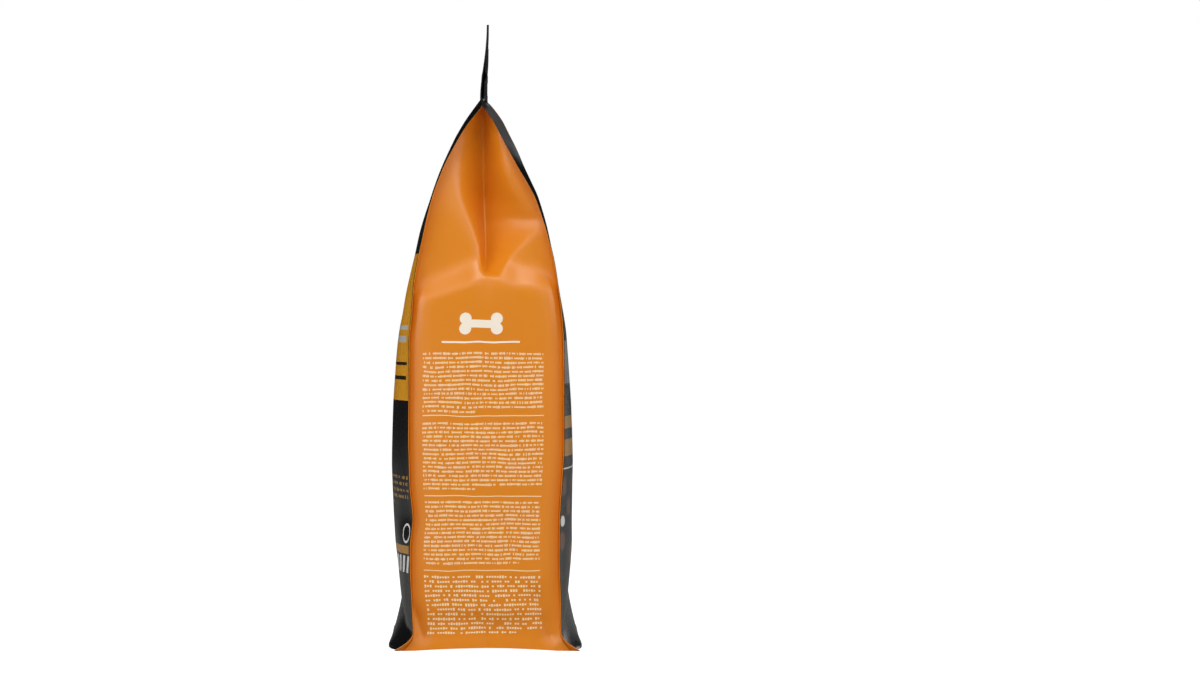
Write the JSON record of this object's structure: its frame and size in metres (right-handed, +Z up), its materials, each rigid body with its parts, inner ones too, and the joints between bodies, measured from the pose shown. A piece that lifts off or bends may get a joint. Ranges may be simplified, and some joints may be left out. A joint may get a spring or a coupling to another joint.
{
  "type": "pet food bag",
  "caption": "Filled quad-seal film bag with tucked side gussets, flat bottom, pointed feet and a flat pressed closure.",
  "frame": {"origin": "on the ground under the middle of the bag", "axes": "+Z up, X across the front panel, Y from front to back with the front panel facing -Y"},
  "size_m": [0.23, 0.123, 0.403],
  "materials": {
    "printed_film": "satin laminated film, printed orange on the gussets and black on the front and back"
  },
  "bodies": {
    "root": {"bag": "printed_film"}
  },
  "joints": []
}
